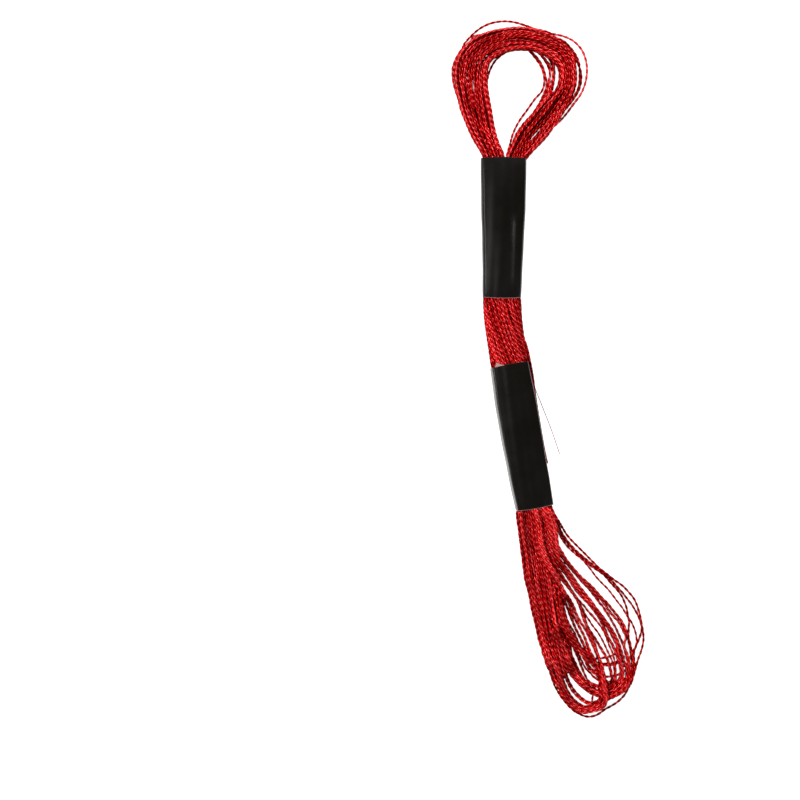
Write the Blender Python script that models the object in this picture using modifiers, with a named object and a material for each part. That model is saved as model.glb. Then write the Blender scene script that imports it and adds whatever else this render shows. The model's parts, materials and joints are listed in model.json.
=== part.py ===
# A skein of metallic embroidery floss lying flat: one open hank, two paper sleeves and a loose end.
# Metres, +Z up. +Y runs from the fanned lower loop to the teardrop upper loop, and the skein rests
# on Z = 0. The tables below are in millimetres, which MM turns into metres.
import math
from collections import namedtuple

import bmesh
import bpy
from mathutils import Vector

MM = 0.001

# ---- driving dimensions -------------------------------------------------------------------------
SLEEVE_WALL = 1.0 * MM          # each sleeve's wall, thicker than real paper so that it stays a solid
SLEEVE_HEIGHT = 5.2 * MM        # outside height of a flattened sleeve
SLEEVE_FOLD_RADIUS = 1.9 * MM   # outside radius of the rounded folds along a sleeve's two sides
GAP = 0.3 * MM                  # clear space between neighbouring pieces
FLOSS_DIAMETER = 0.5 * MM       # one strand of the floss
SLEEVE_SIDES = 36               # faces round a sleeve, most of them on its folds
BUNDLE_SIDES = 3                # bevel resolution of a bundle of strands
STRAND_SIDES = 2                # bevel resolution of the loose end
SKIN_VOXEL = 0.55 * MM          # grain of the skin drawn over all the bundles
SKIN_KEPT = 0.12                # share of the skin's triangles that the finished hank keeps
STEPS_PER_SPAN = 5              # points read for each row of a bundle
LOOSE_END_STEPS = 2             # points read for each row of the loose end

FLOOR_CUTTER_SIZE = (80 * MM, 220 * MM, 10 * MM)

# Flattening of each kind of bundle: its height divided by its width.
TRUNK_FLATNESS = 0.29
LOOP_FLATNESS = 0.34
FAN_FLATNESS = 0.6

# Height of a bundle's underside above the surface. A lying bundle is pressed a little flat.
LYING = -0.25
IN_SLEEVE = (SLEEVE_WALL + GAP) / MM

# Each sleeve: middle of its upper and lower end, and its outside width at those ends.
Sleeve = namedtuple("Sleeve", "name top_x top_y top_width end_x end_y end_width")
SLEEVES = (
    Sleeve("sleeve_upper", -11.2, 54.3, 12.0, -11.8, 18.3, 10.4),
    Sleeve("sleeve_lower", -9.8, 0.8, 9.8, -3.4, -36.1, 10.1),
)

# The bundles of the hank. A row is the bundle's centre, half its width and its underside's height.
Section = namedtuple("Section", "x y half_width lift")
BUNDLES = {
    "trunk": (TRUNK_FLATNESS, (
        (-11.1, 56.8, 4.6, 1.2),
        (-11.2, 54.0, 4.4, IN_SLEEVE),
        (-11.3, 46.0, 4.2, IN_SLEEVE),
        (-11.6, 32.0, 3.95, IN_SLEEVE),
        (-11.8, 19.0, 3.7, IN_SLEEVE),
        (-11.7, 16.6, 4.6, 1.0),
        (-11.4, 12.6, 4.8, 0.9),
        (-10.9, 8.2, 4.8, 0.9),
        (-10.2, 3.2, 4.8, 1.0),
        (-9.7, 0.2, 3.4, IN_SLEEVE),
        (-6.6, -17.6, 3.4, IN_SLEEVE),
        (-3.5, -35.4, 3.45, IN_SLEEVE),
        (-2.9, -38.6, 4.5, 0.9),
        (-2.0, -42.4, 4.6, 0.3),
        (-1.0, -46.6, 3.4, LYING),
    )),
    "upper_loop": (LOOP_FLATNESS, (
        (-13.7, 50.0, 1.55, 1.6),
        (-13.9, 54.4, 1.8, 1.6),
        (-14.7, 57.4, 2.7, 1.2),
        (-16.2, 61.4, 3.3, 0.6),
        (-18.4, 67.6, 4.0, 0.0),
        (-20.0, 74.0, 4.6, LYING),
        (-19.3, 80.0, 4.6, LYING),
        (-16.2, 84.0, 4.2, LYING),
        (-11.6, 86.1, 3.9, LYING),
        (-6.6, 86.2, 3.5, LYING),
        (-1.6, 84.8, 3.7, LYING),
        (2.6, 81.8, 4.4, LYING),
        (4.7, 77.2, 4.9, LYING),
        (4.3, 72.0, 4.5, LYING),
        (1.4, 67.6, 3.8, LYING),
        (-2.2, 63.6, 3.4, 0.2),
        (-5.4, 60.0, 3.1, 0.7),
        (-7.4, 57.2, 2.7, 1.2),
        (-8.4, 54.4, 1.8, 1.6),
        (-8.6, 50.0, 1.55, 1.6),
    )),
    "lower_leg": (LOOP_FLATNESS, (
        (-5.6, -33.0, 1.3, 1.7),
        (-5.2, -36.6, 1.9, 1.6),
        (-4.4, -39.6, 3.6, 0.8),
        (-2.4, -47.0, 4.7, 0.0),
        (-0.8, -55.0, 4.9, LYING),
        (0.8, -63.0, 4.6, LYING),
        (2.4, -70.8, 4.4, LYING),
        (4.4, -78.0, 3.7, LYING),
        (7.0, -83.8, 3.0, LYING),
        (10.6, -87.2, 2.5, LYING),
        (14.2, -86.4, 2.2, LYING),
        (17.0, -83.6, 1.8, LYING),
        (19.2, -80.8, 1.6, LYING),
        (20.4, -77.2, 1.2, LYING),
    )),
    "fan_outer": (FAN_FLATNESS, (
        (-1.8, -33.0, 0.8, 1.7),
        (-0.9, -36.2, 0.85, 1.3),
        (2.6, -40.8, 1.2, 0.3),
        (5.6, -44.8, 1.2, LYING),
        (10.2, -50.0, 1.2, LYING),
        (15.2, -54.2, 1.2, LYING),
        (19.2, -57.6, 1.2, LYING),
        (22.2, -61.6, 1.2, LYING),
        (24.0, -66.2, 1.1, LYING),
        (24.3, -70.8, 1.1, LYING),
        (23.0, -75.2, 1.2, LYING),
        (21.6, -79.8, 1.2, LYING),
    )),
    "fan_second": (FAN_FLATNESS, (
        (0.0, -41.0, 1.0, 0.4),
        (2.4, -45.4, 1.1, LYING),
        (5.4, -50.2, 1.1, LYING),
        (8.6, -54.4, 1.1, LYING),
        (12.2, -58.4, 1.1, LYING),
        (15.6, -62.2, 1.2, LYING),
        (18.6, -66.4, 1.2, LYING),
        (20.4, -71.0, 1.2, LYING),
        (21.0, -75.8, 1.3, LYING),
        (20.0, -80.6, 1.3, LYING),
    )),
    "fan_third": (FAN_FLATNESS, (
        (0.6, -45.0, 1.0, LYING),
        (3.4, -50.4, 1.2, LYING),
        (6.6, -55.4, 1.3, LYING),
        (9.8, -59.8, 1.2, LYING),
        (12.8, -63.8, 1.2, LYING),
        (15.4, -68.2, 1.2, LYING),
        (17.2, -73.0, 1.3, LYING),
        (17.8, -78.0, 1.4, LYING),
        (17.2, -82.8, 1.5, LYING),
    )),
    "fan_inner": (FAN_FLATNESS, (
        (1.4, -50.0, 1.0, LYING),
        (4.2, -55.0, 1.0, LYING),
        (7.2, -60.0, 1.1, LYING),
        (9.8, -65.0, 1.1, LYING),
        (12.0, -70.0, 1.2, LYING),
        (13.8, -75.0, 1.3, LYING),
        (14.8, -80.0, 1.4, LYING),
        (15.0, -85.0, 1.4, LYING),
    )),
    "fan_innermost": (FAN_FLATNESS, (
        (2.6, -56.0, 1.0, LYING),
        (5.4, -61.4, 0.9, LYING),
        (7.6, -66.6, 0.9, LYING),
        (9.4, -71.6, 1.0, LYING),
        (11.4, -76.4, 1.1, LYING),
        (14.0, -80.6, 1.2, LYING),
    )),
    "stray_turn": (1.0, (
        (22.0, -78.6, 0.6, LYING),
        (22.3, -82.4, 0.6, LYING),
        (21.0, -85.8, 0.6, LYING),
        (18.4, -88.2, 0.6, LYING),
        (14.8, -89.5, 0.6, LYING),
        (11.2, -89.8, 0.6, LYING),
        (8.0, -88.4, 0.6, LYING),
    )),
}

# The loose end's middle line, from where it leaves the bare stretch to its cut tip.
RoutePoint = namedtuple("RoutePoint", "x y z")
LOOSE_END = (
    (-5.35, 6.20, 2.30),
    (-4.95, 4.90, 2.20),
    (-4.60, 3.40, 1.95),
    (-4.25, 1.80, 1.55),
    (-3.90, 0.20, 1.10),
    (-3.58, -1.50, 0.72),
    (-3.28, -3.40, 0.46),
    (-3.05, -5.40, 0.34),
    (-2.75, -7.60, 0.30),
    (-2.40, -9.90, 0.30),
    (-2.02, -12.30, 0.30),
    (-1.62, -14.70, 0.30),
    (-1.22, -17.10, 0.30),
    (-0.80, -19.50, 0.30),
    (-0.34, -21.90, 0.30),
    (0.30, -24.80, 0.30),
)


def clear_scene():
    for obj in list(bpy.data.objects):
        bpy.data.objects.remove(obj, do_unlink=True)


def new_collection(name):
    made = bpy.data.collections.new(name)
    bpy.context.scene.collection.children.link(made)
    return made


def new_material(name, colour, roughness, metallic):
    made = bpy.data.materials.new(name)
    made.use_nodes = True
    shader = made.node_tree.nodes["Principled BSDF"]
    shader.inputs["Base Color"].default_value = (*colour, 1.0)
    shader.inputs["Roughness"].default_value = roughness
    shader.inputs["Metallic"].default_value = metallic
    return made


def smooth_rows(rows, steps, kind):
    """Rows along a Catmull-Rom curve through the given rows, with every column read the same way."""
    size = len(rows[0])
    before = tuple(2 * rows[0][i] - rows[1][i] for i in range(size))
    after = tuple(2 * rows[-1][i] - rows[-2][i] for i in range(size))
    held = [before, *rows, after]
    read = []
    for k in range(1, len(held) - 2):
        a, b, c, d = held[k - 1:k + 3]
        for step in range(steps):
            t = step / steps
            read.append(kind(*(
                0.5 * (2 * b[i] + (c[i] - a[i]) * t
                       + (2 * a[i] - 5 * b[i] + 4 * c[i] - d[i]) * t ** 2
                       + (3 * b[i] - a[i] - 3 * c[i] + d[i]) * t ** 3)
                for i in range(size))))
    read.append(kind(*rows[-1]))
    return read


def tube(name, points, radii, sides, collection):
    """A curve object with round filled ends, through points, with a radius at each point."""
    curve = bpy.data.curves.new(name, "CURVE")
    curve.dimensions = "3D"
    curve.bevel_depth = 1.0
    curve.bevel_resolution = sides
    curve.use_fill_caps = True
    line = curve.splines.new("POLY")
    line.points.add(len(points) - 1)
    for point, place, radius in zip(line.points, points, radii):
        point.co = (*place, 1.0)
        point.radius = radius
    obj = bpy.data.objects.new(name, curve)
    collection.objects.link(obj)
    return obj


def bundle(name, flatness, rows, collection):
    """A flattened bundle of strands: a round tube whose object is squashed in Z."""
    read = smooth_rows(rows, STEPS_PER_SPAN, Section)
    radii = [row.half_width * MM for row in read]
    places = [(row.x * MM, row.y * MM, (row.lift / flatness + row.half_width) * MM) for row in read]
    obj = tube(name, places, radii, BUNDLE_SIDES, collection)
    obj.scale.z = flatness
    return obj


def made_mesh(curves, name):
    """One mesh object holding the closed meshes of these curves, which are removed."""
    bpy.context.view_layer.update()
    graph = bpy.context.evaluated_depsgraph_get()
    whole = bmesh.new()
    for obj in curves:
        mesh = bpy.data.meshes.new_from_object(obj.evaluated_get(graph))
        mesh.transform(obj.matrix_world)
        whole.from_mesh(mesh)
        bpy.data.meshes.remove(mesh)
    bmesh.ops.remove_doubles(whole, verts=whole.verts, dist=0.001 * MM)
    bmesh.ops.recalc_face_normals(whole, faces=whole.faces)
    joined = bpy.data.meshes.new(name)
    whole.to_mesh(joined)
    whole.free()
    for obj in curves:
        bpy.data.objects.remove(obj, do_unlink=True)
    return bpy.data.objects.new(name, joined)


def floor_cutter(collection):
    """A block below Z = 0, which gives what it cuts a flat underside."""
    size = Vector(FLOOR_CUTTER_SIZE)
    bpy.ops.mesh.primitive_cube_add(size=1.0, location=(0, 0, -size.z / 2))
    obj = bpy.context.object
    obj.name = "floor_cutter"
    obj.scale = size
    for other in obj.users_collection:
        other.objects.unlink(obj)
    collection.objects.link(obj)
    obj.hide_render = True
    obj.display_type = "WIRE"
    return obj


def build_hank(collection, cutters, material):
    """One smooth skin round all the bundles, thinned out, with a flat underside."""
    curves = [bundle(name, flatness, rows, collection)
              for name, (flatness, rows) in BUNDLES.items()]
    hank = made_mesh(curves, "floss_hank")
    collection.objects.link(hank)
    skin = hank.modifiers.new("skin", "REMESH")
    skin.mode = "VOXEL"
    skin.voxel_size = SKIN_VOXEL
    skin.use_smooth_shade = True
    thin = hank.modifiers.new("thin", "DECIMATE")
    thin.ratio = SKIN_KEPT
    cut = hank.modifiers.new("underside", "BOOLEAN")
    cut.operation = "DIFFERENCE"
    cut.solver = "EXACT"
    cut.object = floor_cutter(cutters)
    hank.data.materials.append(material)
    return hank


def sleeve_outline(angle, width, height, radius):
    """A point of a flattened tube's outline: straight flats joined by round folds."""
    across = math.cos(angle)
    up = math.sin(angle)
    corner = Vector((math.copysign(width / 2 - radius, across),
                     math.copysign(height / 2 - radius, up)))
    return corner + radius * Vector((across, up))


def build_sleeve(spec, collection, material):
    """An open flattened tube, whose wall Solidify makes on its outside."""
    top = Vector((spec.top_x, spec.top_y, 0)) * MM
    end = Vector((spec.end_x, spec.end_y, 0)) * MM
    length = (top - end).length
    form = bmesh.new()
    bmesh.ops.create_cone(form, cap_ends=False, segments=SLEEVE_SIDES, radius1=1, radius2=1, depth=1)
    inner_height = SLEEVE_HEIGHT - 2 * SLEEVE_WALL
    inner_radius = SLEEVE_FOLD_RADIUS - SLEEVE_WALL
    half_side = math.pi / SLEEVE_SIDES      # keeps the points off the middles of the four flats
    for vert in form.verts:
        share = vert.co.z + 0.5
        width = (spec.end_width + (spec.top_width - spec.end_width) * share) * MM
        angle = math.atan2(vert.co.y, vert.co.x) + half_side
        outline = sleeve_outline(angle, width - 2 * SLEEVE_WALL, inner_height, inner_radius)
        vert.co = (outline.x, (share - 0.5) * length, -outline.y)
    bmesh.ops.recalc_face_normals(form, faces=form.faces)
    mesh = bpy.data.meshes.new(spec.name)
    form.to_mesh(mesh)
    form.free()
    sleeve = bpy.data.objects.new(spec.name, mesh)
    collection.objects.link(sleeve)
    middle = (top + end) / 2
    sleeve.location = (middle.x, middle.y, SLEEVE_HEIGHT / 2)
    sleeve.rotation_euler.z = math.atan2(end.x - top.x, top.y - end.y)
    wall = sleeve.modifiers.new("wall", "SOLIDIFY")
    wall.thickness = SLEEVE_WALL
    wall.offset = 1.0
    wall.use_even_offset = True
    sleeve.data.materials.append(material)
    sleeve.data.shade_smooth()
    sleeve.data.set_sharp_from_angle(angle=math.radians(40))
    return sleeve


def build_loose_end(collection, material):
    """The cut end: one strand down from the bare stretch and along the lower sleeve."""
    read = smooth_rows(LOOSE_END, LOOSE_END_STEPS, RoutePoint)
    places = [(row.x * MM, row.y * MM, row.z * MM) for row in read]
    radii = [FLOSS_DIAMETER / 2] * len(places)
    obj = tube("loose_end", places, radii, STRAND_SIDES, collection)
    obj.data.materials.append(material)
    return obj


def main():
    clear_scene()
    skein = new_collection("floss_skein")
    cutters = new_collection("cutters")
    cutters.hide_render = True
    floss = new_material("red_metallic_floss", (0.42, 0.006, 0.012), 0.35, 0.6)
    paper = new_material("black_sleeve_paper", (0.012, 0.012, 0.011), 0.4, 0.0)
    build_hank(skein, cutters, floss)
    for spec in SLEEVES:
        build_sleeve(spec, skein, paper)
    build_loose_end(skein, floss)


main()
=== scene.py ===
import json
import math

import bpy
import numpy as np
from mathutils import Matrix, Vector

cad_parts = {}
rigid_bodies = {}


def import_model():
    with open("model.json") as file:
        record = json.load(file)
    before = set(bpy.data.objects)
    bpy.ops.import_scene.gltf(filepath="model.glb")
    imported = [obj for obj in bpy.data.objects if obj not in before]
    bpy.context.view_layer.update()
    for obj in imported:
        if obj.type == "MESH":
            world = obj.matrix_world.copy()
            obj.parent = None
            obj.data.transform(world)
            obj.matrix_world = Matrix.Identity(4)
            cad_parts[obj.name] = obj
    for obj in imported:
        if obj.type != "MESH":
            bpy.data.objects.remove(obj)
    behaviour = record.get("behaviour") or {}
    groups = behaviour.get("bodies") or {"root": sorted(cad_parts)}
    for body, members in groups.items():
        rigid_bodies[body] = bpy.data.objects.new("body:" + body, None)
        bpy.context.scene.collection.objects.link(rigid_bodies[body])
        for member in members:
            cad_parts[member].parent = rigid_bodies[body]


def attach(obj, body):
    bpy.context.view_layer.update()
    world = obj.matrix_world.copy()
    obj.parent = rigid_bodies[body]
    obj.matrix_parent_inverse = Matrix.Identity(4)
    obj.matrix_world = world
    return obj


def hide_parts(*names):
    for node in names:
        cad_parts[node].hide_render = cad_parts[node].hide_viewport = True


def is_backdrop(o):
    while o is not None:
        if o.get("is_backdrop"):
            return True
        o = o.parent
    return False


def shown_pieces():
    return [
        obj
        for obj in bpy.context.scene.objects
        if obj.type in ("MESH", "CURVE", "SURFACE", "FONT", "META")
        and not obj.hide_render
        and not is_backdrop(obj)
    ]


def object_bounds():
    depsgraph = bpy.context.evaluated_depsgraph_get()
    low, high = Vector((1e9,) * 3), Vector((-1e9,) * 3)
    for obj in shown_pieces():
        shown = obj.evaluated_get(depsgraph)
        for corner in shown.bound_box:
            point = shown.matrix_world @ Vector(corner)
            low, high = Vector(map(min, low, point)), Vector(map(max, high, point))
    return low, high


# A skein of metallic embroidery floss: twisted strands, two paper sleeves, one loose end.
# Its sizes are in millimetres and mm turns them into metres. Those of the camera, the lamps, the
# floor and the patterns of the materials are in metres.
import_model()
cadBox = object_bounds()
mm = 0.001
boxMiddle = (Vector(cadBox[0]) + Vector(cadBox[1])) / 2
sceneObjects = bpy.context.scene.collection.objects

# The camera looks straight down. Three lamps and a dim white sky light the skein.
view = {
    "aside": (-0.0385, -0.0080),   # what the lens points at, from the middle of the skein
    "width": 0.208,                # how much fits across the picture
    "level": 0.0010,               # at this height above the floor
    "lens": 100.0,
    "sensor": 36.0,
}
studio = {
    "sky": 0.10,
    "left": {"place": (-0.46, 0.06, 0.66), "size": 0.26, "watts": 6.5},
    "top": {"place": (0.10, 0.64, 0.50), "size": 0.30, "watts": 5.5},
    "fill": {"place": (0.50, -0.42, 0.60), "size": 0.60, "watts": 1.6},
}


def addCamera():
    data = bpy.data.cameras.new("camera")
    data.lens = view["lens"]
    data.sensor_width = view["sensor"]
    data.clip_start = 0.01
    camera = bpy.data.objects.new("camera", data)
    height = view["width"] * view["lens"] / view["sensor"]
    camera.location = (boxMiddle.x + view["aside"][0], boxMiddle.y + view["aside"][1],
                       height + view["level"])
    sceneObjects.link(camera)
    bpy.context.scene.camera = camera


def addLight(name, place, size, watts):
    data = bpy.data.lights.new(name, "AREA")
    data.shape = "DISK"
    data.size = size
    data.energy = watts
    light = bpy.data.objects.new(name, data)
    light.location = place
    light.rotation_euler = (boxMiddle - Vector(place)).to_track_quat("-Z", "Y").to_euler()
    sceneObjects.link(light)


def addSky():
    world = bpy.data.worlds.new("studio")
    world.use_nodes = True
    sky = world.node_tree.nodes["Background"]
    sky.inputs["Color"].default_value = (1, 1, 1, 1)
    sky.inputs["Strength"].default_value = studio["sky"]
    bpy.context.scene.world = world


def fill(tree, sockets, values):
    # set or link each socket, found by its name or, as in i0, by its number
    for name, value in values.items():
        socket = sockets[int(name[1:]) if name[0] == "i" and name[1:].isdigit() else name]
        if isinstance(value, bpy.types.NodeSocket):
            tree.links.new(value, socket)
        else:
            socket.default_value = value


def addNode(tree, kind, settings=None, **inputs):
    node = tree.nodes.new(kind)
    for name, value in (settings or {}).items():
        setattr(node, name, value)
    fill(tree, node.inputs, inputs)
    return node


def attribute(tree, name, output="Fac"):
    return addNode(tree, "ShaderNodeAttribute", {"attribute_name": name}).outputs[output]


def sums(tree, operation, a, b=0.0, c=0.0, clamp=False):
    return addNode(tree, "ShaderNodeMath", {"operation": operation, "use_clamp": clamp},
                   i0=a, i1=b, i2=c).outputs[0]


def newGroup(name, inputs, outputs):
    group = bpy.data.node_groups.new(name, "ShaderNodeTree")
    for title, kind, value in inputs:
        socket = group.interface.new_socket(title, in_out="INPUT", socket_type=kind)
        socket.default_value = value
    for title, kind in outputs:
        group.interface.new_socket(title, in_out="OUTPUT", socket_type=kind)
    start = group.nodes.new("NodeGroupInput").outputs
    finish = group.nodes.new("NodeGroupOutput").inputs
    return group, start, finish


def useGroup(tree, group, **inputs):
    return addNode(tree, "ShaderNodeGroup", {"node_tree": group}, **inputs).outputs


def newMaterial(name):
    material = bpy.data.materials.new(name)
    material.use_nodes = True
    tree = material.node_tree
    return material, tree, tree.nodes["Principled BSDF"]


def colourRamp(tree, factor, stops):
    ramp = addNode(tree, "ShaderNodeValToRGB", Fac=factor)
    band = ramp.color_ramp.elements
    while len(band) < len(stops):
        band.new(0.5)
    for element, (place, colour) in zip(band, stops):
        element.position = place
        element.color = (*colour, 1)
    return ramp.outputs["Color"]


def grainGroup():
    # speckle over any surface: a coarse drift, a fine grain and the height of both
    group, given, made = newGroup(
        "surfaceGrain",
        [("Coarse scale", "NodeSocketFloat", 300.0), ("Fine scale", "NodeSocketFloat", 6000.0)],
        [("Drift", "NodeSocketFloat"), ("Grain", "NodeSocketFloat"), ("Height", "NodeSocketFloat")])
    place = addNode(group, "ShaderNodeTexCoord").outputs["Object"]
    coarse = addNode(group, "ShaderNodeTexNoise", Vector=place, Scale=given["Coarse scale"],
                     Detail=3.0, Roughness=0.55).outputs[0]
    fine = addNode(group, "ShaderNodeTexNoise", Vector=place, Scale=given["Fine scale"],
                   Detail=2.0, Roughness=0.6).outputs[0]
    height = sums(group, "MULTIPLY_ADD", coarse, 0.4, fine)
    fill(group, made, {"Drift": coarse, "Grain": fine, "Height": height})
    return group


surfaceGrain = grainGroup()
floss = {
    "tones": ((0.05, (0.10, 0.0001, 0.0001)), (0.20, (0.22, 0.0004, 0.0004)),
              (0.41, (0.44, 0.005, 0.005)), (0.78, (0.92, 0.10, 0.11))),     # from the painted shade in the grooves to the painted highlight on the crowns
    "paintedCrowns": (5.0, 0.60, 0.21),   # painted highlights on the crowns: how narrow and how bright they are, and the tone beside them
    "paintedShadeFalloff": 3.0,         # how fast the painted shade deepens away from a strand's top
    # painted glints: bright flecks in the colour
    "paintedGlints": 0.55,
    "uneven": 0.25,        # from strand to strand
    "drift": 0.3,
    "darker": 0.11,
    "metal": 0.6,
    "roughness": 0.5,
    "polish": 0.3,         # how much smoother the glints are
    "tint": (1.0, 0.12, 0.12, 1.0),
    "fibres": 9.0,         # filaments seen round one strand
    "slant": 5200.0,       # how fast they wind round it
    "pitch": 3.2,          # length of one whole turn of the two plies
    "starts": 37.0,        # over how many turns the strands' twists are spread
    "width": 0.68,
    "thickness": 0.45,
    "plump": 0.62,         # the thickness on each side, before the waist takes some away
}


def twistGroup():
    # two plies twisted together: crowns brightened with painted highlight, grooves darkened with painted
    # shade, and fine filaments along the twist
    group, given, made = newGroup(
        "pliedTwist",
        [("Filaments", "NodeSocketFloat", 9.0), ("Glint scale", "NodeSocketFloat", 900.0)],
        [("Crown", "NodeSocketFloat"), ("Glint", "NodeSocketFloat"), ("Height", "NodeSocketFloat")])
    parts = addNode(group, "ShaderNodeSeparateXYZ", Vector=attribute(group, "round", "Vector")).outputs
    along = attribute(group, "along")
    crown = sums(group, "ABSOLUTE", parts["X"])
    angle = sums(group, "ARCTAN2", parts["Y"], parts["X"])
    turned = sums(group, "MULTIPLY", angle, given["Filaments"])
    filament = sums(group, "SINE", sums(group, "MULTIPLY_ADD", along, floss["slant"], turned))
    # the painted glints differ from strand to strand and across each one
    spot = addNode(group, "ShaderNodeCombineXYZ", X=along,
                   Y=sums(group, "MULTIPLY", attribute(group, "tone"), 0.9),
                   Z=sums(group, "MULTIPLY", parts["X"], 0.0007)).outputs[0]
    glint = addNode(group, "ShaderNodeTexNoise", Vector=spot, Scale=given["Glint scale"],
                    Detail=2.0, Roughness=0.7).outputs[0]
    height = sums(group, "MULTIPLY_ADD", filament, 0.5, crown)
    fill(group, made, {"Crown": crown, "Glint": glint, "Height": height})
    return group


def flossMaterial():
    material, tree, shader = newMaterial("metallicFloss")
    twist = useGroup(tree, twistGroup(), Filaments=floss["fibres"])
    grain = useGroup(tree, surfaceGrain, **{"Coarse scale": 140.0, "Fine scale": 9000.0})
    # painted highlight on the crowns and painted shade in the grooves, as lighter and darker colour
    narrow, crownHighlight, beside = floss["paintedCrowns"]
    crown = sums(tree, "MULTIPLY_ADD", sums(tree, "POWER", twist["Crown"], narrow), crownHighlight, beside)
    # painted glints: bright flecks added to the colour; the same spots are also smoother below
    glint = sums(tree, "MULTIPLY_ADD", twist["Glint"], floss["paintedGlints"], -floss["paintedGlints"] / 2)
    # painted shade: a strand is drawn darker down its sides, away from its top
    top = sums(tree, "POWER", attribute(tree, "above"), floss["paintedShadeFalloff"])
    lift = sums(tree, "MULTIPLY_ADD", top, crown, glint)
    lift = sums(tree, "MULTIPLY_ADD", attribute(tree, "tone"), floss["uneven"], lift)
    # painted shade of the whole piece
    lift = sums(tree, "SUBTRACT", lift, attribute(tree, "shade"))
    lift = sums(tree, "SUBTRACT", lift, floss["darker"])
    lift = sums(tree, "MULTIPLY_ADD", grain["Drift"], floss["drift"], lift)
    bump = addNode(tree, "ShaderNodeBump", Strength=0.5, Distance=0.00004, Height=twist["Height"])
    gloss = sums(tree, "MULTIPLY_ADD", twist["Glint"], -floss["polish"], floss["roughness"], clamp=True)
    fill(tree, shader.inputs, {
        "Base Color": colourRamp(tree, lift, floss["tones"]), "Roughness": gloss,
        "Normal": bump.outputs[0], "Metallic": floss["metal"], "Specular IOR Level": 0.08,
        "Specular Tint": floss["tint"]})
    return material


randomly = np.random.default_rng(41)
sampling = 0.4       # distance between the points of a strand
smoothing = 0.15     # distance between the points that its curve is first worked out at


def flowThrough(points):
    # an even line through uneven points, turning smoothly at each
    points = np.array(points, float)
    gaps = np.linalg.norm(np.diff(points[:, :2], axis=0), axis=1)[:, None]
    steps = np.diff(points, axis=0) / gaps
    inner = (steps[:-1] * gaps[1:] + steps[1:] * gaps[:-1]) / (gaps[:-1] + gaps[1:])
    slopes = np.vstack([steps[:1], inner, steps[-1:]])
    line = []
    for a, b, p, q, gap in zip(points[:-1], points[1:], slopes[:-1], slopes[1:], gaps[:, 0]):
        t = np.linspace(0, 1, max(3, int(gap / smoothing)), endpoint=False)[:, None]
        line.append((2 * t**3 - 3 * t**2 + 1) * a + (t**3 - 2 * t**2 + t) * p * gap
                    + (3 * t**2 - 2 * t**3) * b + (t**3 - t**2) * q * gap)
    line = np.vstack([*line, points[-1:]])
    far = np.r_[0, np.cumsum(np.linalg.norm(np.diff(line[:, :2], axis=0), axis=1))]
    even = np.linspace(0, far[-1], int(far[-1] / sampling) + 1)
    return np.column_stack([np.interp(even, far, column) for column in line.T])


def across(line):
    # unit vectors that point to the left of a line
    way = np.gradient(line[:, :2], axis=0)
    way /= np.linalg.norm(way, axis=1)[:, None]
    return np.column_stack([-way[:, 1], way[:, 0]])


def wander(count, reach, wave):
    # a slow sideways drift along a strand
    s = np.arange(count) * sampling
    drift = np.zeros(count)
    for part in (1.0, 0.55, 0.35):
        drift += part * np.sin(2 * math.pi * (s * (1 + randomly.uniform(-0.3, 0.3)) / (wave * part)
                                              + randomly.uniform()))
    return reach * drift / 1.4


def inBand(edges, share):
    # points inside a band: edges are rows of (x, y) on one side and (x, y) on the other
    rows = np.array(edges, float)
    return rows[:, :2] + (rows[:, 2:] - rows[:, :2]) * share


def betweenEdges(edges, shares, reach, wave):
    # a strand inside a band, which moves across it from one share to the next
    share = np.interp(np.linspace(0, 1, len(edges)), np.linspace(0, 1, len(shares)), shares)
    line = flowThrough(inBand(edges, share[:, None]))
    return line + across(line) * wander(len(line), reach, wave)[:, None]


def eased(height):
    held = np.r_[height[0], height, height[-1]]
    return 0.25 * held[:-2] + 0.5 * held[1:-1] + 0.25 * held[2:]


class Pile:
    # how high the laid strands reach above each spot, so that the next one rests on them
    cell = 0.1
    low = np.array([-40.0, -104.0])
    size = (900, 2080)
    half = 0.25        # half the width over which strands press on each other
    rise = 0.18        # half the height of a pressed strand
    base = 0.16        # height of an empty spot
    easings = 14       # how often the way up and down is evened out

    def __init__(self):
        self.top = np.full(self.size, self.base)

    def spots(self, places):
        return tuple(np.clip(((places - self.low) / self.cell).astype(int), 0,
                             np.array(self.size) - 1).T)

    def hold(self, middle, turn, halfWidth, halfLength, lift, run):
        # the floor inside a sleeve, and the slope up to it
        x, y = np.meshgrid(*(low + self.cell * np.arange(n) for low, n in zip(self.low, self.size)),
                           indexing="ij")
        x, y = x - middle[0], y - middle[1]
        u = x * math.cos(turn) + y * math.sin(turn)
        v = -x * math.sin(turn) + y * math.cos(turn)
        off = np.hypot(np.maximum(abs(u) - halfWidth, 0), np.maximum(abs(v) - halfLength, 0))
        slope = np.clip(1 - off / run, 0, 1)
        self.top = np.maximum(self.top, lift * slope * slope * (3 - 2 * slope))

    def lay(self, line):
        sides = across(line)
        steps = np.array([-0.8, -0.4, 0.0, 0.4, 0.8])
        need = np.max([self.top[self.spots(line[:, :2] + sides * s * self.half)]
                       + self.rise * math.sqrt(1 - s * s) for s in steps], axis=0)
        height = need
        for _ in range(self.easings):
            height = np.maximum(need, eased(height))
        height = eased(height)
        fine = np.linspace(0, len(line) - 1, len(line) * 5)
        at = np.arange(len(line))
        spine = np.column_stack([np.interp(fine, at, c) for c in (line[:, 0], line[:, 1], height)])
        turned = np.column_stack([np.interp(fine, at, c) for c in sides.T])
        for s in np.linspace(-1, 1, 7):
            spot = self.spots(spine[:, :2] + turned * s * self.half)
            np.maximum.at(self.top, spot, spine[:, 2] + self.rise * math.sqrt(1 - s * s))
        return np.column_stack([line[:, :2], height])


pile = Pile()
packed = 5.4         # the pressed pile stays under this height


def pressed(route):
    # the weight of the hank packs its upper layers closer
    route[:, 2] = packed * (1 - np.exp(-route[:, 2] / packed))
    return route


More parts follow.
